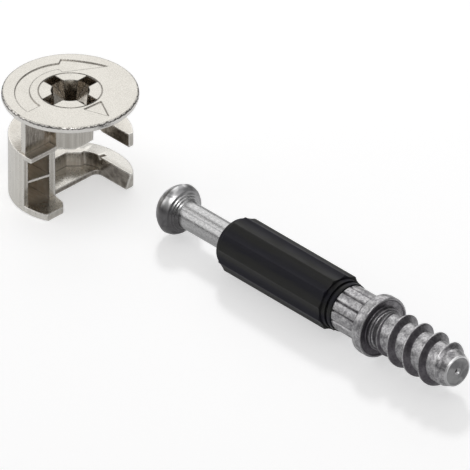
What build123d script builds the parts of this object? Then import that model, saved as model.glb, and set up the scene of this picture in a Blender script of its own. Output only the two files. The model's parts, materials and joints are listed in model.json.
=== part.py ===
from build123d import *

import os
from math import atan, cos, degrees, pi, radians, sin

# Furniture cam lock fitting: a cam housing and the connecting bolt that it pulls tight.
#
# Millimetres, +Z up. The origin is on the cam's turning axis, at the surface that the set stands on.
# +X is the direction that the cam's mouth faces, and the bolt lies along it, its thread pointing away.

os.makedirs("parts", exist_ok=True)

# Cam housing, outer form
drum_r = 7.5  # turns in a 15 mm bore in the panel
drum_chamfer = 0.15
cam_height = 14.14
flange_r = 8.25
flange_t = 0.93
flange_round = 0.36
roof_t = 0.6
floor_t = 0.65
foot_t = 0.95
foot_x = 3.15
foot_y = -4.2  # inner corner of the foot's front edge
brim_x = 2.4
brim_y = -3.55
skin_t = 0.58

# Cam housing, chamber for the bolt's head
bolt_axis_z = 4.45
slot_flare = 0.62  # how far the lower jaw drops away towards its outer edge
slot_turn = 190.0  # how far the cam turns before the neck meets the slot's end
neck_clearance = 0.15
head_clearance = 0.05
crown_wall = 0.38  # what is left of the roof above the head's widest part
trough_r = 4.45  # the trough under the roof, which that part swings through
trough_x = 1.1
trough_y = -2.6
mouth_y = 4.7  # straight inner face of the jaws
upper_tip_x = 5.2
lower_tip_x = 5.5  # at the lower jaw's upper edge
lower_tip_lean = 0.32  # how far that tip falls back for each millimetre down
notch_x = -0.4  # inner edge of the opening in floor and roof
notch_round = 0.8
back_x = -3.33
back_left_y = -2.2
back_right_y = 2.4
side_y = -3.25
side_end_x = -1.6
side_draft = 0.42
bulge_r = 4.0  # rounded corner between the side and the back
bulge_angle = 229.0
post_x = 0.75
wall_x = -0.25
roof_x = 1.0
spiral_x = 0.5  # where the spiral starts on the jaws' inner face
spiral_r = 4.95
spiral_mid_r = 4.88
spiral_end_r = 4.7
spiral_angle = 95.0
spiral_mid_angle = 103.0
spiral_end_angle = 116.5
lock_x = -2.13
lock_y = 3.75
detent_w = 0.5
detent_x = 0.05
detent_depth = 1.0
detent_drop = 0.5

# Cam housing, pockets that lighten the side wall
pocket_depth = 3.5
pocket_wall = 0.75
shelf_z = 4.1
shelf_t = 0.32

# Cam housing, hub, webs and driver socket
hub_x = 2.35
hub_y = 3.1
hub_corner = 1.6
hub_foot_r = 2.0
hub_top_r = 4.4
hub_top_t = 0.6
hub_taper = 3.3
web_t = 0.65
web_shift = 0.6  # the front web stands this far behind the cam's centre
web_reach = 7.2
socket_r = 2.3
socket_foot_r = 1.7
socket_depth = 5.0
socket_tip = 0.6
arm_reach = 3.7
arm_w = 1.8
arm_lean = 0.15
arm_tip_depth = 1.1
arm_root_depth = 2.9

# Cam housing, marks sunk in the flange's top
mark_depth = 0.12
ring_mark_r = 3.83
ring_mark_w = 0.1
band_inner_r = 4.87
band_tail_r = 6.86
band_head_r = 6.12
band_tail_angle = -91.0
band_head_angle = -211.0
arrow_in_r = 4.15
arrow_out_r = 6.89
arrow_mid_r = 6.54
arrow_tip_r = 6.9
arrow_tip_angle = -264.0
arrow_lead = 3.0  # degrees from the band's end to the arrow's outer shoulder
arrow_lag = 4.0  # degrees from the arrow's inner shoulder back to the band's inner edge
pointer_base_x = 4.17
pointer_half = 1.35
pointer_tip_x = 7.28
pointer_turn = -4.3

# Connecting bolt, stations measured from the end of its head
crown_r = 1.4  # flat end of the head
crown_round = 3.02
head_r = 3.22
head_widest = 1.9
head_back = 2.92
head_back_r = 2.82
head_back_round = 1.57
step_count = 3  # fine steps down from the head's back to the neck
step_r = 2.5
step_pitch = 0.22
step_drop = 0.27
step_draft = 0.08
recess_reach = 1.9
recess_foot = 0.6
recess_w = 0.75
recess_depth = 1.9
neck_r = 1.72
shank_end = 31.7
spline_r = 2.93
spline_edge = 0.1
spline_len = 4.1
spline_count = 14
spline_groove = 0.3
collar_r = 3.85
collar_t = 1.9
collar_edge = 0.1
bevel_h = 0.6
bevel_len = 0.7
bevel_round = 0.65
collar_round = 0.2
dish_depth = 0.2
dish_slope = 0.2
boss_r = 2.7
boss_len = 0.5
boss_edge = 0.1
thread_r = 3.13
thread_len = 12.85
thread_pitch = 2.66
thread_base = 1.45
crest_w = 0.2
core_r = 2.35
core_flare = 0.12
core_flare_len = 0.3
ridge_sink = 0.15  # how deep the thread's ridge is rooted in the core
ridge_rise = 3.7  # the thread grows to its full height over this length
ridge_full = 3.2  # it has its full height up to this distance from the tip
ridge_blunt = 2.0
ridge_stop = 1.2
tip_r = 1.93
tip_taper = 1.1
tip_edge = 0.08
tip_edge_len = 0.25
dimple_r = 0.45
dimple_foot_r = 0.3
dimple_depth = 0.3

# Sleeve on the shank
sleeve_start = 11.65
lip_len = 1.1
lip_r = 3.15
lip_round = 0.55
sleeve_r = 3.6
shoulder_len = 0.3
flute_count = 12
flute_depth = 0.12
flute_share = 0.86  # of the way from rib to rib
flutes_len = 17.45
ring_r = 3.15
ring_w = 0.65
groove_r = 2.9
groove_w = 0.3
end_ring_r = 3.06

# Where the bolt lies beside the cam
bolt_y = 2.87  # at the end of its head
head_end_x = 13.73
bolt_yaw = -1.25

neck_gap = neck_r + neck_clearance
slot_low = bolt_axis_z - neck_gap
slot_high = bolt_axis_z + neck_gap
trough_top = bolt_axis_z + head_r + head_clearance
roof_top = trough_top + crown_wall
roof_under = roof_top - roof_t
flange_under = cam_height - flange_t
far = 2 * drum_r  # well outside the drum
beyond = 1.0  # how far the slot's section runs past the drum
touch = 0.1  # how far a cut or a ridge passes the face that it must meet


def polar(r, angle):
    return (r * cos(radians(angle)), r * sin(radians(angle)))


def bands(start, end, radius, count):
    """Points along an arc, for a turned edge that is rounded in a few narrow cones."""
    arc = RadiusArc(start, end, radius, mode=Mode.PRIVATE)
    return [arc @ (i / count) for i in range(count + 1)]


# The neck slot between the jaws: a ring that widens outwards, kept where the neck passes, and a
# straight run over the front of the lower jaw
slot_section = ((beyond, slot_low), (spiral_end_r, slot_low), (drum_r, slot_low - slot_flare),
                (drum_r + beyond, slot_low - slot_flare), (drum_r + beyond, slot_high),
                (beyond, slot_high))
turn = radians(slot_turn)
slot_root = (-neck_gap * sin(turn), neck_gap * cos(turn))
slot_end = (far * cos(turn) + slot_root[0], far * sin(turn) + slot_root[1])
with BuildPart() as neck_slot:
    with BuildSketch(Plane.XZ):
        with BuildLine():
            Polyline(*slot_section, close=True)
        make_face()
    revolve(axis=Axis.Z)
    with BuildSketch():
        with BuildLine():
            Polyline((0, 0), (0, far), (-far, far), (-far, slot_end[1]), slot_end, slot_root, close=True)
        make_face()
    extrude(amount=cam_height, mode=Mode.INTERSECT)
    with BuildSketch(Plane.YZ):
        with BuildLine():
            Polyline(*slot_section, close=True)
        make_face()
    extrude(amount=far)
    with BuildSketch(Plane.XY.offset(slot_low - detent_drop)):
        with Locations((detent_x, mouth_y)):
            Rectangle(detent_w, 2 * detent_depth)
    extrude(amount=detent_drop + touch)

# The chamber seen from above: the jaws' straight inner face, the spiral that pulls the bolt in, two
# flats where it locks, and the side beside the hollow wall
side_end = (side_end_x, side_y - side_draft)
lock_corner = (lock_x, lock_y)
spiral_start = polar(spiral_r, spiral_angle)
spiral_end = polar(spiral_end_r, spiral_end_angle)
with BuildSketch() as chamber_plan:
    with BuildLine():
        Polyline((spiral_x, mouth_y), (far, mouth_y), (far, -far), (wall_x, -far),
                 (wall_x, -drum_r), (post_x, side_y), side_end)
        ThreePointArc(side_end, polar(bulge_r, bulge_angle), (back_x, back_left_y))
        Polyline((back_x, back_left_y), (back_x, back_right_y), lock_corner, spiral_end)
        ThreePointArc(spiral_end, polar(spiral_mid_r, spiral_mid_angle), spiral_start)
        Line(spiral_start, (spiral_x, mouth_y))
    make_face()

# Two pockets that lighten the side wall, one above the other, with a shelf between them
with BuildPart() as pockets:
    with BuildSketch(Plane.XY.offset(foot_t)):
        Circle(drum_r - skin_t)
        with Locations((0, side_y - pocket_wall)):
            Rectangle(2 * pocket_depth, far, align=(Align.CENTER, Align.MAX), mode=Mode.INTERSECT)
    extrude(amount=roof_under - foot_t)
    with BuildSketch(Plane.XY.offset(shelf_z - shelf_t / 2)):
        Rectangle(far, far)
    extrude(amount=shelf_t, mode=Mode.SUBTRACT)

with BuildPart() as cam:
    # Drum, opened by the chamber between floor and roof, the slot and the pockets
    with BuildSketch():
        Circle(drum_r)
    extrude(amount=roof_top)
    chamfer(cam.edges().group_by(Axis.Z)[0], drum_chamfer)
    with BuildSketch(Plane.XY.offset(floor_t)):
        add(chamber_plan.sketch)
    extrude(amount=roof_under - floor_t, mode=Mode.SUBTRACT)
    add(neck_slot.part, mode=Mode.SUBTRACT)
    add(pockets.part, mode=Mode.SUBTRACT)
    # Opening through the floor and the roof, which lets the head in
    with BuildSketch() as floor_opening:
        with BuildLine():
            Polyline((notch_x, mouth_y), (far, mouth_y), (far, -far), (foot_x, -far), (foot_x, foot_y),
                     (brim_x, brim_y), (post_x, side_y), (notch_x, side_y), close=True)
        make_face()
        fillet(floor_opening.vertices().group_by(Axis.X)[0].sort_by(Axis.Y)[-1], notch_round)
    extrude(amount=floor_t, mode=Mode.SUBTRACT)
    with BuildSketch(Plane.XY.offset(roof_under)):
        with BuildLine():
            Polyline((notch_x, mouth_y), (far, mouth_y), (far, -far), (roof_x, -far), (roof_x, side_y),
                     (notch_x, side_y), close=True)
        make_face()
    extrude(amount=roof_t, mode=Mode.SUBTRACT)
    # Blunt tips of the jaws
    with BuildSketch(Plane.XZ):
        with BuildLine():
            Polyline((upper_tip_x, roof_top), (upper_tip_x, bolt_axis_z),
                     (lower_tip_x, bolt_axis_z), (lower_tip_x, slot_low),
                     (lower_tip_x - lower_tip_lean * slot_low, 0), (far, 0), (far, roof_top), close=True)
        make_face()
    extrude(amount=far, both=True, mode=Mode.SUBTRACT)
    # Foot, thicker than the floor
    with BuildSketch():
        Circle(drum_r - drum_chamfer)
        with BuildLine():
            Polyline((-pocket_depth, side_y), (post_x, side_y), (brim_x, brim_y), (foot_x, foot_y),
                     (foot_x, -far), (-pocket_depth, -far), close=True)
        make_face(mode=Mode.INTERSECT)
    extrude(amount=foot_t)
    with BuildSketch(Plane.XY.offset(drum_chamfer)):
        Circle(drum_r)
        with BuildLine():
            Polyline((wall_x, foot_y), (foot_x, foot_y), (foot_x, -far), (wall_x, -far), close=True)
        make_face(mode=Mode.INTERSECT)
    extrude(amount=foot_t - drum_chamfer)
    # Hub round the driver socket: eight-sided below, tapering out to the flange
    with BuildSketch(Plane.XY.offset(roof_under)) as hub:
        Rectangle(2 * hub_x, 2 * hub_y)
        chamfer(hub.vertices(), hub_corner)
    extrude(amount=flange_under - roof_under)
    with BuildSketch(Plane.XZ):
        with BuildLine():
            Polyline((0, flange_under), (hub_top_r, flange_under), (hub_top_r, flange_under - hub_top_t),
                     (hub_foot_r, flange_under - hub_taper), (0, flange_under - hub_taper), close=True)
        make_face()
    revolve(axis=Axis.Z)
    # Webs that carry the flange on the roof
    with BuildSketch(Plane.XY.offset(roof_top)):
        with Locations((-web_shift, 0)):
            Rectangle(web_t, 2 * web_reach)
        with Locations((-web_reach / 2, 0)):
            Rectangle(web_reach, web_t)
    extrude(amount=flange_under - roof_top)
    # Shallow trough under the closed part of the roof, which the head's widest part swings through
    with BuildSketch(Plane.XY.offset(roof_under)):
        add(chamber_plan.sketch)
        Circle(trough_r, mode=Mode.INTERSECT)
        with Locations((trough_x, trough_y)):
            Rectangle(far, far, align=(Align.MAX, Align.MIN), mode=Mode.INTERSECT)
    extrude(amount=trough_top - roof_under, mode=Mode.SUBTRACT)
    # Flange with a rounded rim
    with BuildSketch(Plane.XZ):
        with BuildLine():
            Polyline((0, flange_under),
                     *bands((flange_r - flange_round, flange_under),
                            (flange_r, flange_under + flange_round), -flange_round, 2),
                     *bands((flange_r, cam_height - flange_round),
                            (flange_r - flange_round, cam_height), -flange_round, 3),
                     (0, cam_height), close=True)
        make_face()
    revolve(axis=Axis.Z)
    # Driver socket: a round well and four arms with sloping floors
    with BuildSketch(Plane.XZ):
        with BuildLine():
            Polyline((0, cam_height), (socket_r, cam_height), (socket_foot_r, cam_height - socket_depth),
                     (0, cam_height - socket_depth - socket_tip), close=True)
        make_face()
    revolve(axis=Axis.Z, mode=Mode.SUBTRACT)
    for across in (Plane.XZ, Plane.YZ):
        with BuildSketch(across):
            with BuildLine():
                Polyline((-arm_reach, cam_height), (arm_reach, cam_height),
                         (arm_reach - arm_lean, cam_height - arm_tip_depth),
                         (socket_foot_r, cam_height - arm_root_depth),
                         (-socket_foot_r, cam_height - arm_root_depth),
                         (arm_lean - arm_reach, cam_height - arm_tip_depth), close=True)
            make_face()
        extrude(amount=arm_w / 2, both=True, mode=Mode.SUBTRACT)
    # Marks: a thin ring, the arrow that shows which way the cam locks, and the pointer to its mouth
    with BuildSketch(Plane.XY.offset(cam_height)):
        Circle(ring_mark_r + ring_mark_w / 2)
        Circle(ring_mark_r - ring_mark_w / 2, mode=Mode.SUBTRACT)
    extrude(amount=-mark_depth / 2, mode=Mode.SUBTRACT)
    band_tail = polar(band_tail_r, band_tail_angle)
    band_head = polar(band_head_r, band_head_angle)
    band_foot = polar(band_inner_r, band_tail_angle)
    band_neck = polar(band_inner_r, band_head_angle + arrow_lag)
    band_mid_angle = (band_tail_angle + band_head_angle) / 2
    arrow_shoulder = polar(arrow_out_r, band_head_angle - arrow_lead)
    arrow_tip = polar(arrow_tip_r, arrow_tip_angle)
    arrow_mid_angle = (band_head_angle + arrow_tip_angle) / 2
    with BuildSketch(Plane.XY.offset(cam_height)):
        with BuildLine():
            Line(band_foot, band_tail)
            ThreePointArc(band_tail, polar((band_tail_r + band_head_r) / 2, band_mid_angle), band_head)
            Line(band_head, arrow_shoulder)
            ThreePointArc(arrow_shoulder, polar(arrow_mid_r, arrow_mid_angle), arrow_tip)
            Polyline(arrow_tip, polar(arrow_in_r, band_head_angle), band_neck)
            ThreePointArc(band_neck, polar(band_inner_r, band_mid_angle), band_foot)
        make_face()
    extrude(amount=-mark_depth, mode=Mode.SUBTRACT)
    with BuildSketch(Plane.XY.offset(cam_height).rotated((0, 0, pointer_turn))):
        with BuildLine():
            Polyline((pointer_base_x, -pointer_half), (pointer_tip_x, 0),
                     (pointer_base_x, pointer_half), close=True)
        make_face()
    extrude(amount=-mark_depth, mode=Mode.SUBTRACT)
cam.part.label = "cam"

# Bolt and sleeve are formed along the X axis, with the end of the bolt's head at the origin
flutes_start = sleeve_start + lip_len
flutes_end = flutes_start + flutes_len
ring_end = flutes_end + ring_w
groove_end = ring_end + groove_w
collar_start = shank_end + spline_len
bevel_start = collar_start + collar_edge
bevel_end = bevel_start + bevel_len
collar_end = collar_start + collar_t
dish = collar_end - dish_depth
dish_r = collar_r - collar_round - dish_slope
boss_end = collar_end + boss_len
bolt_end = collar_end + thread_len


def crosswise(station):
    return Plane(origin=(station, 0, 0), x_dir=(0, -1, 0), z_dir=(1, 0, 0))


# One thread: a ridge swept along a helix, faded out at both ends by the turned form round it
thread_start = collar_end - 0.75 * thread_pitch
ridge_foot = core_r - ridge_sink
ridge_h = thread_r - ridge_foot
with BuildPart() as thread:
    with BuildLine(crosswise(thread_start)) as path:
        Helix(pitch=thread_pitch, height=bolt_end - thread_start, radius=ridge_foot, direction=(1, 0, 0))
    ridge_start = path.line @ 0
    outwards = ridge_start - Vector(thread_start, 0, 0)
    with BuildSketch(Plane(origin=ridge_start, x_dir=outwards, z_dir=path.line % 0)):
        with BuildLine():
            Polyline((0, -thread_base / 2), (ridge_h, -crest_w / 2), (ridge_h, crest_w / 2),
                     (0, thread_base / 2), close=True)
        make_face()
    sweep(path=path.line, is_frenet=True)
    with BuildSketch(Plane.XZ):
        with BuildLine():
            Polyline((collar_end + touch, 0), (collar_end + touch, core_r - touch),
                     (collar_end + ridge_rise, thread_r + touch), (bolt_end - ridge_full, thread_r + touch),
                     (bolt_end - ridge_blunt, thread_r - 2 * touch), (bolt_end - ridge_stop, core_r - touch),
                     (bolt_end - ridge_stop, 0), close=True)
        make_face()
    revolve(axis=Axis.X, mode=Mode.INTERSECT)

# The fine steps behind the head
steps = []
for i in range(step_count):
    station = head_back + step_draft + i * step_pitch
    r = step_r - i * step_drop
    steps += [(station, r), (station + step_pitch - step_draft / 2, r - step_draft)]
neck_start = head_back + 2 * step_draft + step_count * step_pitch

with BuildPart() as straight_bolt:
    # Round form from the head's end to the thread's core
    with BuildSketch(Plane.XZ):
        with BuildLine():
            Polyline((0, 0), *bands((0, crown_r), (head_widest, head_r), crown_round, 5),
                     *bands((head_widest, head_r), (head_back, head_back_r), head_back_round, 2)[1:],
                     *steps, (neck_start, neck_r), (shank_end, neck_r),
                     (shank_end, spline_r - spline_edge), (shank_end + spline_edge, spline_r),
                     (collar_start, spline_r),
                     *bands((bevel_start, collar_r - bevel_h), (bevel_end, collar_r), bevel_round, 3),
                     *bands((collar_end - collar_round, collar_r), (collar_end, collar_r - collar_round),
                            collar_round, 2),
                     (dish, dish_r), (dish, boss_r + boss_edge), (dish + boss_edge, boss_r),
                     (boss_end - boss_edge, boss_r), (boss_end, boss_r - boss_edge),
                     (boss_end, core_r + core_flare), (boss_end + core_flare_len, core_r),
                     (bolt_end, core_r), (bolt_end, dimple_r),
                     (bolt_end - dimple_depth, dimple_foot_r), (bolt_end - dimple_depth, 0), close=True)
        make_face()
    revolve(axis=Axis.X)
    # Splines between the sleeve and the collar
    with BuildSketch(crosswise(shank_end)):
        with PolarLocations(spline_r, spline_count, start_angle=-45):
            Rectangle(spline_groove, spline_groove, rotation=45)
    extrude(amount=spline_len, mode=Mode.SUBTRACT)
    # Driver recess in the head's end: a cross of two arms with sloping ends
    for across in (Plane.XZ, Plane.XY):
        with BuildSketch(across):
            with BuildLine():
                Polyline((-touch, -recess_reach), (-touch, recess_reach), (0, recess_reach),
                         (recess_depth, recess_foot), (recess_depth, -recess_foot),
                         (0, -recess_reach), close=True)
            make_face()
        extrude(amount=recess_w / 2, both=True, mode=Mode.SUBTRACT)
    # Thread, and the tip tapered behind its end
    add(thread.part)
    with BuildSketch(Plane.XZ):
        with BuildLine():
            Polyline((bolt_end - tip_taper, core_r), (bolt_end - tip_edge_len, tip_r + tip_edge),
                     (bolt_end, tip_r), (bolt_end + touch, tip_r), (bolt_end + touch, core_r + touch),
                     (bolt_end - tip_taper, core_r + touch), close=True)
        make_face()
    revolve(axis=Axis.X, mode=Mode.SUBTRACT)

half_flute = sleeve_r * sin(pi / flute_count) * flute_share
flute_r = (half_flute**2 + flute_depth**2) / (2 * flute_depth)
with BuildPart() as straight_sleeve:
    # Round form: lip, body, and at the splines a thin ring, a groove and an end ring
    with BuildSketch(Plane.XZ):
        with BuildLine():
            Polyline((sleeve_start, neck_r),
                     *bands((sleeve_start, lip_r - lip_round), (sleeve_start + lip_round, lip_r),
                            lip_round, 3),
                     (flutes_start - shoulder_len, lip_r), (flutes_start, sleeve_r),
                     (flutes_end, sleeve_r), (flutes_end, ring_r), (ring_end, ring_r),
                     (ring_end, groove_r), (groove_end, groove_r), (groove_end, end_ring_r),
                     (shank_end, end_ring_r), (shank_end, neck_r), close=True)
        make_face()
    revolve(axis=Axis.X)
    # Broad shallow flutes, which leave narrow ribs that grip the bore
    with BuildSketch(crosswise(flutes_start - shoulder_len)):
        with PolarLocations(sleeve_r * cos(pi / flute_count) - flute_depth + flute_r, flute_count,
                            start_angle=90):
            Circle(flute_r)
    extrude(amount=flutes_len + 2 * shoulder_len, mode=Mode.SUBTRACT)

# The bolt rests on its collar and, near its head, on the inner corners of two neighbouring ribs
rib_rest = (sleeve_r**2 - half_flute**2) ** 0.5
tilt = atan((collar_r - rib_rest) / (bevel_end - flutes_start))
head_end_z = collar_r * cos(tilt) - bevel_end * sin(tilt)
lying = Location((head_end_x, bolt_y, head_end_z)) * Rot(Z=bolt_yaw) * Rot(Y=-degrees(tilt))

with BuildPart() as connecting_bolt:
    with Locations(lying):
        add(straight_bolt.part)
connecting_bolt.part.label = "connecting_bolt"

with BuildPart() as sleeve:
    with Locations(lying):
        add(straight_sleeve.part)
sleeve.part.label = "sleeve"

export_step(cam.part, "parts/cam.step")
export_step(connecting_bolt.part, "parts/connecting_bolt.step")
export_step(sleeve.part, "parts/sleeve.step")
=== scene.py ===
# Looks of the furniture cam lock fitting: a satin nickel-plated cam housing that stands on its foot,
# and beside it the bare cast connecting bolt with its black plastic sleeve.
# Metres, +Z up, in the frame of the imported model.

import json
import math

import bpy
from mathutils import Matrix, Vector


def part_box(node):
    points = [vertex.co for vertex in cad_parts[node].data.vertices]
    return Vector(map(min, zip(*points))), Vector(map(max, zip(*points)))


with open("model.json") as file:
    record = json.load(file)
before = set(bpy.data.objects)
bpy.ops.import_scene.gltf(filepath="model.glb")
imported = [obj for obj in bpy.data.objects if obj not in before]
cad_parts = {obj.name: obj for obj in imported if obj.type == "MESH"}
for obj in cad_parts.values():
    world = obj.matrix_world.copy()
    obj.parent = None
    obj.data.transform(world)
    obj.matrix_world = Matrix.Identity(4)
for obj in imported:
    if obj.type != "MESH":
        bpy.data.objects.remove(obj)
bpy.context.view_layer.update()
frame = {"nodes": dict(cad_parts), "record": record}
nodes = frame["nodes"]
mounts = {mount["name"]: mount for mount in frame["record"]["mounts"]}
scene = bpy.context.scene
MM = 0.001
PER_MM = 1.0 / MM


def mm(*lengths):
    """Millimetres as metres."""
    return [length * MM for length in lengths]


# Camera, at the photograph's viewing angle and frame
FRAME_PX = 470
PX_PER_MM = 8.36
CAMERA_AZIMUTH = 46.1
CAMERA_ELEVATION = 33.52
CAMERA_LENS_MM = 1500.0
SENSOR_MM = 36.0
CAMERA_TARGET = Vector(mm(15.79, 12.07, -4.56))
CLIP_NEAR = 0.1
CLIP_FAR = 10.0

# Floor: its size, its colour and own glow, and how bright it is when a metal mirrors it
FLOOR_SIZE = 3.0
FLOOR_WHITE = (0.9, 0.9, 0.905)
FLOOR_GLOW = 0.335
FLOOR_IN_METAL = 0.62

# Studio: its walls, the dark band at the horizon, the white that the camera sees in their place, and
# the share of them that gives matt surfaces no light
STUDIO_TINT = (1.0, 0.995, 0.985)
STUDIO_GREY = 0.17
HORIZON_GREY = 0.05
HORIZON_BAND = (0.07, 0.17)
BACKDROP = 1.05
HIDDEN_FROM_MATT = 0.6
# Softboxes, and a small strong lamp that only glints on edges and roundings: where each hangs, its
# half angle, the width of its soft edge, and its strength
SOFTBOXES = (((-0.60, 0.58, 0.66), 21.0, 13.0, 1.23),
             ((-0.66, -0.50, 0.56), 20.0, 14.0, 1.2),
             ((0.66, -0.66, 0.24), 9.0, 8.0, 0.80),
             ((0.30, 0.10, 0.95), 26.0, 14.0, 0.75))
GLINT = ((0.40, -0.38, 0.84), 10.0, 6.0, 3.0)

# The two lights that draw the shadows, seen from the set's middle: direction, distance, width, radiance
MIDDLE = Vector(mm(20.0, 0.0, 3.0))
BOLT_LIGHT = ((-0.54, 0.52, 0.66), 0.6, 0.09, 38.72)
CAM_LIGHT = ((0.05, -0.05, 1.0), 0.5, 0.5, 1.0)

# Edges: what counts as one, how far its corner is broken, and how far its shading is rounded
EDGE_ANGLE = math.radians(28.0)
FLAT_ANGLE = math.radians(0.3)
WELD_DISTANCE = 0.0005 * MM
CAM_EDGE, BOLT_EDGE, SLEEVE_EDGE = mm(0.075, 0.035, 0.04)
CAM_SHADING, BOLT_SHADING = mm(0.2, 0.1)

# Places on the cam that its finish depends on
FLANGE_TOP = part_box("cam")[1].z
FLANGE_UNDER = mounts["flange_seat"]["pos_m"][2]
FLANGE_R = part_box("cam")[1].y
MARKS_R = FLANGE_R - 0.6 * MM
FOOT_SIDE = -2.4 * MM

# The bolt's axis, and stations along it from the end of its head
HEAD_END = Vector(mounts["bolt_driver_recess"]["pos_m"])
BOLT_AXIS = Vector(mounts["bolt_thread"]["axis"])
COLLAR_END = (Vector(mounts["bolt_thread"]["pos_m"]) - HEAD_END).length
BOLT_END = (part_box("connecting_bolt")[1].x - HEAD_END.x) / BOLT_AXIS.x
HEAD_BACK = 3.3 * MM
NECK_START = 4.6 * MM
SPLINES_START = 31.7 * MM
TIP_R = 1.93 * MM
DIMPLE_R = 0.45 * MM
SEAM_ANGLE = 40.0

# Where noise turns from dark to light
WIDE = (0.3, 0.7)
NARROW = (0.35, 0.65)
SKEWED = (0.35, 0.7)

# How far a surface faces up or down before it counts as level
LEVEL = (0.5, 0.9)

# Rays by which a point finds hollows and edges, and rays by which it rounds an edge
OPENNESS_SAMPLES = 12
ROUNDING_SAMPLES = 4

# Tones of the nickel: one, or a dark and a light one that noise mixes. The outer, mouth floor and rim
# tones are painted light, the edge tone painted highlight and wear, the rim line a painted dark
# reflection, and the inner, hollow, socket, crease and mark edge tones painted shade.
NICKEL = {"silver": ((0.585, 0.56, 0.515), (0.645, 0.62, 0.575)),
          "grained": ((0.50, 0.485, 0.445), (0.78, 0.76, 0.715)),
          "upright": ((0.47, 0.445, 0.405), (0.68, 0.655, 0.61)),
          "outer": ((0.80, 0.775, 0.725), (0.94, 0.92, 0.87)),
          "lit_mouth_floor": (0.82, 0.80, 0.755),
          "inner": ((0.17, 0.15, 0.128), (0.38, 0.35, 0.31)),
          "rim": (0.95, 0.93, 0.90),
          "rim_line": (0.06, 0.052, 0.045),
          "hollow": ((0.84, 0.775, 0.69), (0.98, 0.93, 0.86)),
          "socket": ((0.30, 0.262, 0.216), (0.55, 0.49, 0.42)),
          "crease_shade": (0.09, 0.075, 0.062),
          "edge": (0.95, 0.93, 0.89),
          "mark_outline_shade": (0.10, 0.088, 0.075)}

# Tones of the bare zinc, in the same way. The far side, shaded, hollow, crease, flank, tip and dimple core
# tones are painted shade, and the edge and tip edge tones painted highlight, the edge tone with wear.
ZINC = {"smooth": ((0.41, 0.41, 0.415), (0.62, 0.62, 0.625)),
        "polished": ((0.38, 0.38, 0.39), (0.85, 0.85, 0.855)),
        "far_side_shade": (0.17, 0.165, 0.17),
        "shaded": (0.085, 0.081, 0.085),
        "mottled": ((0.25, 0.245, 0.258), (0.60, 0.595, 0.605)),
        "grain": (0.2, 0.2, 0.21),
        "seam": (0.25, 0.25, 0.26),
        "hollow": (0.075, 0.068, 0.078),
        "crease_shade": (0.04, 0.037, 0.043),
        "flank_shade": (0.07, 0.062, 0.074),
        "edge": (0.92, 0.92, 0.93),
        "tip": ((0.17, 0.17, 0.175), (0.33, 0.33, 0.335)),
        "tip_edge": (0.97, 0.97, 0.98),
        "dimple_core_shade": (0.08, 0.078, 0.08)}

# Tones of the black nylon; the hollow tone is painted shade.
NYLON = {"flutes": ((0.0165, 0.0165, 0.0245), (0.031, 0.031, 0.0295)),
         "hollow": (0.004, 0.004, 0.005)}


# Node helpers

def new_material(name):
    material = bpy.data.materials.new(name)
    material.use_nodes = True
    tree = material.node_tree
    tree.nodes.clear()
    return material, tree


def plug(tree, socket, value):
    if isinstance(value, bpy.types.NodeSocket):
        tree.links.new(value, socket)
    elif isinstance(value, tuple) and len(value) == 3 and len(socket.default_value) == 4:
        socket.default_value = (*value, 1.0)
    else:
        socket.default_value = value


def add_node(tree, kind, inputs=None, **settings):
    node = tree.nodes.new(kind)
    for key, value in settings.items():
        setattr(node, key, value)
    for key, value in (inputs or {}).items():
        plug(tree, node.inputs[key], value)
    return node


def calc(tree, operation, *values):
    node = add_node(tree, "ShaderNodeMath", operation=operation)
    for socket, value in zip(node.inputs, values):
        plug(tree, socket, value)
    return node.outputs["Value"]


def vector_calc(tree, operation, *values, output="Vector"):
    node = add_node(tree, "ShaderNodeVectorMath", operation=operation)
    for socket, value in zip(node.inputs, values):
        plug(tree, socket, value)
    return node.outputs[output]


def product(tree, first, *others):
    for value in others:
        first = calc(tree, "MULTIPLY", first, value)
    return first


def total(tree, one, other):
    return calc(tree, "ADD", one, other)


def rest_of(tree, share):
    """What a share from 0 to 1 leaves."""
    return calc(tree, "SUBTRACT", 1.0, share)


def split(tree, vector):
    return add_node(tree, "ShaderNodeSeparateXYZ", {"Vector": vector}).outputs


def stretched(tree, vector, scale):
    return vector_calc(tree, "MULTIPLY", vector, scale)


def noise(tree, vector, scale, detail=2.0, roughness=0.5, distortion=0.0):
    inputs = {"Vector": vector, "Scale": scale, "Detail": detail, "Roughness": roughness,
              "Distortion": distortion}
    return add_node(tree, "ShaderNodeTexNoise", inputs).outputs["Fac"]


def fade(tree, value, low, high, to_low=0.0, to_high=1.0):
    """A smooth step from to_low to to_high while value goes from low to high."""
    inputs = {"Value": value, "From Min": low, "From Max": high, "To Min": to_low, "To Max": to_high}
    return add_node(tree, "ShaderNodeMapRange", inputs,
                    interpolation_type="SMOOTHSTEP").outputs["Result"]


def band(tree, value, rise, fall):
    """1 between two smooth steps, given as from and to."""
    return product(tree, fade(tree, value, *rise), fade(tree, value, *fall))


def mix(tree, factor, a, b):
    node = add_node(tree, "ShaderNodeMix", data_type="RGBA")
    for name, value in (("Factor_Float", factor), ("A_Color", a), ("B_Color", b)):
        plug(tree, next(s for s in node.inputs if s.identifier == name), value)
    return next(s for s in node.outputs if s.identifier == "Result_Color")


def two_tone(tree, pattern, tones, spread=WIDE):
    return mix(tree, fade(tree, pattern, *spread), *tones)


def paint(tree, under, share, over, strength=1.0):
    """Lays a tone over another where share is 1, at most at the given strength."""
    if strength < 1.0:
        share = product(tree, share, strength)
    return mix(tree, share, under, over)


def openness(tree, distance, inside=False):
    """1 in the open and towards 0 in a hollow, or, from inside, towards 0 along an outer edge."""
    return add_node(tree, "ShaderNodeAmbientOcclusion", {"Distance": distance * MM}, inside=inside,
                    only_local=True, samples=OPENNESS_SAMPLES).outputs["AO"]


def hollows(tree, distance, open_at, full_at):
    return fade(tree, openness(tree, distance), open_at, full_at)


def outer_edges(tree, distance, open_at, full_at):
    return fade(tree, openness(tree, distance, inside=True), open_at, full_at)


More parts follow.
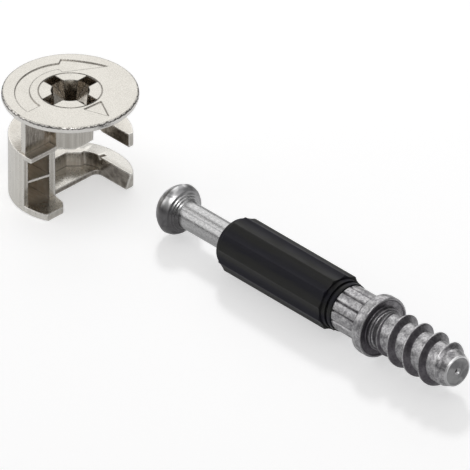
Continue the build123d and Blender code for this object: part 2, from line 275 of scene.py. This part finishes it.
def rounded_edges(tree, radius):
    return add_node(tree, "ShaderNodeBevel", {"Radius": radius},
                    samples=ROUNDING_SAMPLES).outputs["Normal"]


def bump(tree, height, strength, distance, normal=None):
    inputs = {"Height": height, "Strength": strength, "Distance": distance * MM}
    if normal is not None:
        inputs["Normal"] = normal
    return add_node(tree, "ShaderNodeBump", inputs).outputs["Normal"]


def principled(tree, **inputs):
    named = {key.replace("_", " ").title().replace("Ior", "IOR"): value for key, value in inputs.items()}
    shader = add_node(tree, "ShaderNodeBsdfPrincipled", named)
    add_node(tree, "ShaderNodeOutputMaterial", {"Surface": shader.outputs["BSDF"]})


# Finish of the cam

def below(level, *depths):
    """Levels so many millimetres below another."""
    return [level - depth * MM for depth in depths]


def cam_places(tree, position, facing, pebbles):
    """Shares from 0 to 1 of the places on the cam: where each of its tones lies."""
    _, side, height = split(tree, position)
    upward = split(tree, facing)["Z"]
    level = fade(tree, calc(tree, "ABSOLUTE", upward), *LEVEL)
    upright = rest_of(tree, level)
    from_axis = stretched(tree, position, (1.0, 1.0, 0.0))
    across = vector_calc(tree, "LENGTH", from_axis, output="Value")
    outward = vector_calc(tree, "DOT_PRODUCT", vector_calc(tree, "NORMALIZE", from_axis), facing,
                          output="Value")

    round_rim = fade(tree, across, MARKS_R, MARKS_R + 0.3 * MM)
    ragged = total(tree, height, fade(tree, pebbles, *NARROW, *mm(-0.07, 0.07)))
    lit_mouth_floor = product(tree, fade(tree, upward, *LEVEL),
                          fade(tree, side, FOOT_SIDE - 0.5 * MM, FOOT_SIDE + 0.5 * MM))
    hollow = product(tree, hollows(tree, 3.2, 0.88, 0.42), fade(tree, lit_mouth_floor, 0.0, 1.0, 1.0, 0.15))
    marks = product(tree, fade(tree, height, *below(FLANGE_TOP, 0.35, 0.25)), rest_of(tree, round_rim))
    return {
        "top": product(tree, level, fade(tree, height, *below(FLANGE_TOP, 0.4, 0.2))),
        "upright": upright,
        "marks": marks,
        "rim": product(tree, round_rim, band(tree, height, below(FLANGE_UNDER, 0.1, 0.0),
                                             below(FLANGE_TOP, 0.06, 0.1))),
        "rim_line": product(tree, round_rim, band(tree, ragged, below(FLANGE_TOP, 0.26, 0.21),
                                                  below(FLANGE_TOP, 0.07, 0.12))),
        "outer": product(tree, upright, fade(tree, outward, 0.85, 0.97),
                         fade(tree, across, *mm(6.3, 6.6))),
        "inner": product(tree, upright, fade(tree, outward, 0.25, -0.05),
                         fade(tree, height, *below(FLANGE_UNDER, 0.2, 0.5))),
        "lit_mouth_floor": product(tree, lit_mouth_floor, fade(tree, height, *mm(2.6, 2.3))),
        "socket": product(tree, fade(tree, across, *mm(4.3, 4.0)),
                          fade(tree, height, *below(FLANGE_UNDER, 4.5, 4.0))),
        "hollow": hollow,
        "crease_shade": product(tree, hollows(tree, 0.22, 0.92, 0.5), fade(tree, hollow, 0.0, 1.0, 1.0, 0.45)),
        "edge": mix(tree, marks, outer_edges(tree, 0.34, 0.86, 0.56), outer_edges(tree, 0.2, 0.85, 0.5)),
    }


def nickel_plating():
    """Satin nickel on a zinc die casting: warm silver, grained on the flange, with painted shade that
    browns and darkens its hollows, socket, creases and inward walls, painted light on its outward walls,
    mouth floor and rim, and painted highlights and wear on its edges.
    """
    material, tree = new_material("nickel_plating")
    coordinates = add_node(tree, "ShaderNodeTexCoord").outputs
    position = coordinates["Object"]
    grain = noise(tree, position, 7.0 * PER_MM, 3.0, 0.7)
    pebbles = noise(tree, position, 2.6 * PER_MM, 2.0, 0.6)
    cloud = noise(tree, position, 0.35 * PER_MM)
    streaks = noise(tree, stretched(tree, position, (2600.0, 2600.0, 90.0)), 1.0, 3.0, 0.6)
    scratches = noise(tree, stretched(tree, position, (900.0, 9000.0, 900.0)), 1.0)
    place = cam_places(tree, position, coordinates["Normal"], pebbles)

    colour = two_tone(tree, cloud, NICKEL["silver"], NARROW)
    colour = paint(tree, colour, place["top"], two_tone(tree, grain, NICKEL["grained"]), 0.6)
    colour = paint(tree, colour, place["upright"], two_tone(tree, streaks, NICKEL["upright"]), 0.7)
    # Painted light: a lighter tone on the outward-facing walls of the drum.
    colour = paint(tree, colour, place["outer"], two_tone(tree, streaks, NICKEL["outer"]), 0.75)
    # Painted light: a lighter tone on the level floor of the mouth by the foot, where the hollow shade is
    # also lifted.
    colour = paint(tree, colour, place["lit_mouth_floor"], NICKEL["lit_mouth_floor"])
    # Painted shade: a dark scratched tone on the inward-facing walls under the flange.
    colour = paint(tree, colour, place["inner"], two_tone(tree, scratches, NICKEL["inner"], NARROW), 0.95)
    # Painted highlight: a bright band around the flange's rim.
    colour = paint(tree, colour, place["rim"], NICKEL["rim"], 0.8)
    # Painted shade: a browner, darker tone in the hollows, darkest brown in the driver socket.
    hollow_and_socket_shade = paint(tree, two_tone(tree, scratches, NICKEL["hollow"], SKEWED), place["socket"],
                  two_tone(tree, streaks, NICKEL["socket"], SKEWED))
    colour = paint(tree, colour, place["hollow"], hollow_and_socket_shade)
    # Painted shade: dark lines in creases and inner corners.
    colour = paint(tree, colour, place["crease_shade"], NICKEL["crease_shade"], 0.8)
    # Painted highlight and wear: bright outer edges, with painted shade along the edges of the engraved
    # marks.
    bright = paint(tree, NICKEL["edge"], place["marks"], NICKEL["mark_outline_shade"])
    colour = paint(tree, colour, place["edge"], bright, 0.85)
    # Painted reflection: a dark ragged line along the upper rounding of the rim.
    colour = paint(tree, colour, place["rim_line"], NICKEL["rim_line"], 0.85)

    relief = mix(tree, place["top"], streaks, total(tree, grain, pebbles))
    normal = bump(tree, relief, 0.10, 0.02, rounded_edges(tree, CAM_SHADING))
    normal = bump(tree, product(tree, pebbles, place["rim"]), 0.5, 0.05, normal)
    satin = calc(tree, "SUBTRACT", fade(tree, pebbles, *WIDE, 0.22, 0.33),
                 product(tree, place["upright"], 0.05))
    as_cast = product(tree, place["hollow"], rest_of(tree, place["socket"]), 0.24)
    principled(tree, base_color=colour, metallic=1.0, roughness=total(tree, satin, as_cast), normal=normal)
    return material


# Finishes of the bolt and its sleeve

def bolt_frame(tree):
    """Position along the bolt, and its station, distance off the axis and angle from the top to -Y."""
    position = add_node(tree, "ShaderNodeTexCoord").outputs["Object"]
    across = Vector((0.0, 0.0, 1.0)).cross(BOLT_AXIS).normalized()
    up = BOLT_AXIS.cross(across)
    turned = Matrix((BOLT_AXIS, across, up)).transposed().to_euler()
    along = add_node(tree, "ShaderNodeMapping",
                     {"Vector": position, "Location": HEAD_END, "Rotation": turned},
                     vector_type="TEXTURE").outputs["Vector"]
    station, left, above = split(tree, along)
    off_axis = vector_calc(tree, "LENGTH", stretched(tree, along, (0.0, 1.0, 1.0)), output="Value")
    radians = calc(tree, "ARCTAN2", product(tree, left, -1.0), above)
    return along, station, off_axis, product(tree, radians, math.degrees(1.0))


def away_from(tree, angle, middle):
    return calc(tree, "ABSOLUTE", calc(tree, "SUBTRACT", angle, middle))


def bolt_places(tree, station, off_axis, angle):
    """Shares from 0 to 1 of the places on the bolt: where each of its tones lies."""
    facing = add_node(tree, "ShaderNodeTexCoord").outputs["Normal"]
    endwise = calc(tree, "ABSOLUTE", vector_calc(tree, "DOT_PRODUCT", facing, BOLT_AXIS, output="Value"))
    cast = fade(tree, station, SPLINES_START - 1.0 * MM, SPLINES_START)
    head = fade(tree, station, HEAD_BACK, HEAD_BACK - 0.6 * MM)
    before_tip = fade(tree, station, *below(BOLT_END, 0.15, 0.25))
    dimple = product(tree, band(tree, station, below(BOLT_END, 0.5, 0.4), below(BOLT_END, 0.05, 0.09)),
                     fade(tree, off_axis, DIMPLE_R + 0.08 * MM, DIMPLE_R))
    outside = rest_of(tree, dimple)
    underside = product(tree, fade(tree, angle, 38.0, 72.0),
                        fade(tree, station, *mm(1.3, 2.2), 0.6, 0.88))
    return {
        "cast": cast,
        "head": head,
        "far_side_shade": fade(tree, angle, -5.0, -30.0),
        "shaded": product(tree, underside, fade(tree, station, NECK_START, NECK_START - 0.8 * MM)),
        "seam": product(tree, fade(tree, away_from(tree, angle, SEAM_ANGLE), 5.0, 1.0),
                        rest_of(tree, calc(tree, "MAXIMUM", cast, head))),
        "flank_shade": product(tree, fade(tree, endwise, 0.45, 0.75), before_tip,
                         fade(tree, station, *below(COLLAR_END, 0.6, 0.5)),
                         fade(tree, angle, -45.0, 30.0, 0.42, 0.84)),
        "hollow": product(tree, hollows(tree, 1.5, 0.85, 0.40), outside),
        "crease_shade": product(tree, hollows(tree, 0.2, 0.9, 0.45), outside),
        "edge": outer_edges(tree, 0.28, 0.86, 0.5),
        "tip": rest_of(tree, before_tip),
        "tip_edge": product(tree, fade(tree, off_axis, *below(TIP_R, 0.2, 0.12)),
                            fade(tree, station, *below(BOLT_END, 0.32, 0.24)),
                            fade(tree, away_from(tree, angle, -15.0), 105.0, 60.0, 0.35, 1.0)),
        "dimple": dimple,
        "dimple_core_shade": product(tree, dimple, fade(tree, off_axis, *mm(0.28, 0.2))),
    }


def bare_metal():
    """Bare zinc die casting: cool grey, smooth on head and shank, mottled from the splines on."""
    material, tree = new_material("bare_metal")
    along, station, off_axis, angle = bolt_frame(tree)
    mottle = noise(tree, along, 3.6 * PER_MM, 4.0, 0.65, 0.2)
    grain = noise(tree, along, 6.5 * PER_MM, 3.0, 0.65)
    blotch = noise(tree, along, 0.62 * PER_MM, 2.0, 0.5, 0.6)
    cloud = noise(tree, along, 1.3 * PER_MM, 2.0, 0.6, 0.3)
    drawn = noise(tree, stretched(tree, along, (2600.0, 4200.0, 4200.0)), 1.0, 4.0, 0.75)
    patchy = total(tree, product(tree, mottle, 0.6), product(tree, cloud, 0.4))
    place = bolt_places(tree, station, off_axis, angle)

    polished = two_tone(tree, blotch, ZINC["polished"], (0.38, 0.54))
    # Painted shade: a darker tone on the head's side beyond its top, away from -Y.
    polished = paint(tree, polished, place["far_side_shade"], ZINC["far_side_shade"], 0.6)
    colour = paint(tree, two_tone(tree, drawn, ZINC["smooth"]), place["head"], polished)
    colour = paint(tree, colour, place["shaded"], ZINC["shaded"])
    colour = paint(tree, colour, place["cast"], two_tone(tree, patchy, ZINC["mottled"], (0.38, 0.62)))
    colour = paint(tree, colour, fade(tree, grain, 0.55, 0.75), ZINC["grain"], 0.35)
    colour = paint(tree, colour, place["seam"], ZINC["seam"], 0.45)
    # Painted shade: a dark tone in the hollows between crests, ribs and rings.
    colour = paint(tree, colour, place["hollow"], ZINC["hollow"])
    # Painted shade: dark lines in creases.
    colour = paint(tree, colour, place["crease_shade"], ZINC["crease_shade"], 0.8)
    # Painted shade: dark thread flanks, stronger towards the -Y side.
    colour = paint(tree, colour, place["flank_shade"], ZINC["flank_shade"])
    # Painted highlight and wear: bright outer edges.
    colour = paint(tree, colour, place["edge"], ZINC["edge"], 0.8)
    # Painted shade: a darker blotchy tone on the tip's end face.
    colour = paint(tree, colour, place["tip"], two_tone(tree, blotch, ZINC["tip"], (0.4, 0.6)), 0.85)
    # Painted highlight: a bright arc along the tip's edge, strongest near the top, and a lighter ring in
    # the dimple.
    lit = calc(tree, "MAXIMUM", product(tree, place["dimple"], 0.5), place["tip_edge"])
    colour = paint(tree, colour, lit, ZINC["tip_edge"])
    # Painted shade: a dark core in the dimple.
    colour = paint(tree, colour, place["dimple_core_shade"], ZINC["dimple_core_shade"])

    relief = mix(tree, place["cast"], product(tree, drawn, 0.6), total(tree, mottle, grain))
    normal = bump(tree, relief, 0.35, 0.035, rounded_edges(tree, BOLT_SHADING))
    dull = calc(tree, "MAXIMUM", place["head"], place["cast"])
    roughness = mix(tree, dull, (0.27, 0.27, 0.27), (0.34, 0.34, 0.34))
    principled(tree, base_color=colour, metallic=1.0, roughness=roughness, normal=normal)
    return material


def black_plastic():
    """Moulded black nylon: semi-matte, with a faint change of tone from flute to flute."""
    material, tree = new_material("black_plastic")
    along, _, _, angle = bolt_frame(tree)
    turns = calc(tree, "SINE", product(tree, angle, math.radians(6.0)))
    flow = noise(tree, stretched(tree, along, (220.0, 1800.0, 1800.0)), 1.0, 3.0, 0.6)
    grain = noise(tree, along, 5.2 * PER_MM, 2.0, 0.6)
    tone = total(tree, product(tree, turns, 0.35), flow)
    colour = two_tone(tree, tone, NYLON["flutes"], (0.1, 0.9))
    # Painted shade: darker in the hollows.
    colour = paint(tree, colour, hollows(tree, 0.5, 0.9, 0.5), NYLON["hollow"], 0.8)
    normal = bump(tree, total(tree, grain, flow), 0.12, 0.02)
    principled(tree, base_color=colour, roughness=fade(tree, flow, *WIDE, 0.40, 0.54), normal=normal,
               specular_ior_level=0.16)
    return material


# Edges and smoothing

def smoothing_group():
    """Joins the faces, shades them smoothly, and keeps the edges sharper than EDGE_ANGLE."""
    group = bpy.data.node_groups.new("smooth_by_edge", "GeometryNodeTree")
    group.interface.new_socket("Geometry", in_out="INPUT", socket_type="NodeSocketGeometry")
    group.interface.new_socket("Geometry", in_out="OUTPUT", socket_type="NodeSocketGeometry")
    start = group.nodes.new("NodeGroupInput").outputs[0]
    bare = add_node(group, "GeometryNodeRemoveAttribute", {"Geometry": start, "Name": "custom_normal"})
    weld = add_node(group, "GeometryNodeMergeByDistance",
                    {"Geometry": bare.outputs[0], "Distance": WELD_DISTANCE})
    faces = add_node(group, "GeometryNodeSetShadeSmooth",
                     {"Geometry": weld.outputs[0], "Shade Smooth": True}, domain="FACE")
    angle = add_node(group, "GeometryNodeInputMeshEdgeAngle").outputs["Unsigned Angle"]
    round_edge = add_node(group, "FunctionNodeCompare", {"A": angle, "B": EDGE_ANGLE},
                          data_type="FLOAT", operation="LESS_EQUAL")
    edges = add_node(group, "GeometryNodeSetShadeSmooth",
                     {"Geometry": faces.outputs[0], "Shade Smooth": round_edge.outputs[0]}, domain="EDGE")
    plug(group, group.nodes.new("NodeGroupOutput").inputs[0], edges.outputs[0])
    return group


def soften(piece, width, group):
    """Breaks a piece's edges by width, with modifiers alone."""
    piece.modifiers.new("smooth_by_edge", "NODES").node_group = group
    flat = piece.modifiers.new("whole_faces", "DECIMATE")
    flat.decimate_type = "DISSOLVE"
    flat.angle_limit = FLAT_ANGLE
    edge = piece.modifiers.new("broken_edges", "BEVEL")
    edge.width = width
    edge.segments = 2
    edge.limit_method = "ANGLE"
    edge.angle_limit = EDGE_ANGLE
    edge.use_clamp_overlap = True
    weighted = piece.modifiers.new("face_normals", "WEIGHTED_NORMAL")
    weighted.keep_sharp = False
    weighted.weight = 100


def dress_pieces():
    group = smoothing_group()
    for name, material, width in (("cam", nickel_plating(), CAM_EDGE),
                                  ("connecting_bolt", bare_metal(), BOLT_EDGE),
                                  ("sleeve", black_plastic(), SLEEVE_EDGE)):
        for slot in nodes[name].material_slots:
            slot.material = material
        soften(nodes[name], width, group)


# Floor, light and camera

def make_floor():
    """A white floor with a glow of its own, dimmer where a metal mirrors it."""
    bpy.ops.mesh.primitive_plane_add(size=FLOOR_SIZE, location=(0.0, 0.0, 0.0))
    floor = bpy.context.object
    floor.name = "floor"
    material, tree = new_material("floor_white")
    reflected = add_node(tree, "ShaderNodeLightPath").outputs["Is Glossy Ray"]
    white = mix(tree, reflected, FLOOR_WHITE, (FLOOR_WHITE[0] * FLOOR_IN_METAL,) * 3)
    glow = fade(tree, reflected, 0.0, 1.0, FLOOR_GLOW, FLOOR_GLOW * FLOOR_IN_METAL)
    principled(tree, base_color=white, roughness=0.9, specular_ior_level=0.0,
               emission_color=(1.0, 1.0, 1.0), emission_strength=glow)
    floor.data.materials.append(material)
    return floor


def group_of(name, objects):
    collection = bpy.data.collections.new(name)
    for thing in objects:
        collection.objects.link(thing)
    return collection


def shadow_light(name, direction, distance, width, radiance, lit, blocked_by):
    """A square light on the pieces in lit, shaded by those in blocked_by and mirrored by none."""
    data = bpy.data.lights.new(name, "AREA")
    data.energy = radiance * math.pi * width * width
    data.size = width
    light = bpy.data.objects.new(name, data)
    scene.collection.objects.link(light)
    light.location = MIDDLE + Vector(direction).normalized() * distance
    light.rotation_euler = (MIDDLE - light.location).to_track_quat("-Z", "Y").to_euler()
    light.visible_camera = False
    light.visible_glossy = False
    light.light_linking.receiver_collection = group_of(name + "_lights", lit)
    light.light_linking.blocker_collection = group_of(name + "_shaded_by", blocked_by)


def lobe(tree, direction, aim, half_angle, edge, strength):
    """A soft-edged bright patch of the studio's wall."""
    near = vector_calc(tree, "DOT_PRODUCT", direction, Vector(aim).normalized(), output="Value")
    inner, outer = math.cos(math.radians(half_angle)), math.cos(math.radians(half_angle + edge))
    return fade(tree, near, outer, inner, 0.0, strength)


def make_world():
    """A dim studio with softboxes for the metals to reflect, and white behind the set."""
    world = bpy.data.worlds.new("studio")
    scene.world = world
    world.use_nodes = True
    tree = world.node_tree
    tree.nodes.clear()
    direction = add_node(tree, "ShaderNodeTexCoord").outputs["Generated"]
    walls = STUDIO_GREY
    for softbox in SOFTBOXES:
        walls = calc(tree, "MAXIMUM", walls, lobe(tree, direction, *softbox))
    walls = product(tree, walls, fade(tree, split(tree, direction)["Z"], *HORIZON_BAND))
    walls = total(tree, walls, HORIZON_GREY)
    rays = add_node(tree, "ShaderNodeLightPath").outputs
    hidden = total(tree, rays["Is Camera Ray"], product(tree, rays["Is Diffuse Ray"], HIDDEN_FROM_MATT))
    strength = product(tree, walls, rest_of(tree, hidden))
    strength = total(tree, strength, product(tree, rays["Is Camera Ray"], BACKDROP))
    glint = product(tree, lobe(tree, direction, *GLINT), rays["Is Glossy Ray"])
    background = add_node(tree, "ShaderNodeBackground",
                          {"Color": STUDIO_TINT, "Strength": total(tree, strength, glint)})
    add_node(tree, "ShaderNodeOutputWorld", {"Surface": background.outputs["Background"]})


def make_camera():
    azimuth, elevation = math.radians(CAMERA_AZIMUTH), math.radians(CAMERA_ELEVATION)
    back = Vector((math.sin(azimuth) * math.cos(elevation), -math.cos(azimuth) * math.cos(elevation),
                   math.sin(elevation)))
    distance = FRAME_PX * CAMERA_LENS_MM / SENSOR_MM / PX_PER_MM * MM
    data = bpy.data.cameras.new("camera")
    data.lens = CAMERA_LENS_MM
    data.sensor_width = SENSOR_MM
    data.clip_start = CLIP_NEAR * distance
    data.clip_end = CLIP_FAR * distance
    camera = bpy.data.objects.new("camera", data)
    scene.collection.objects.link(camera)
    camera.location = CAMERA_TARGET + back * distance
    camera.rotation_euler = (-back).to_track_quat("-Z", "Y").to_euler()
    scene.camera = camera


dress_pieces()
floor = make_floor()
cam, bolt, sleeve = nodes["cam"], nodes["connecting_bolt"], nodes["sleeve"]
shadow_light("bolt_shadow", *BOLT_LIGHT, lit=[floor, sleeve], blocked_by=[bolt, sleeve])
shadow_light("cam_shadow", *CAM_LIGHT, lit=[floor], blocked_by=[cam])
make_world()
make_camera()
scene.view_settings.view_transform = "Standard"
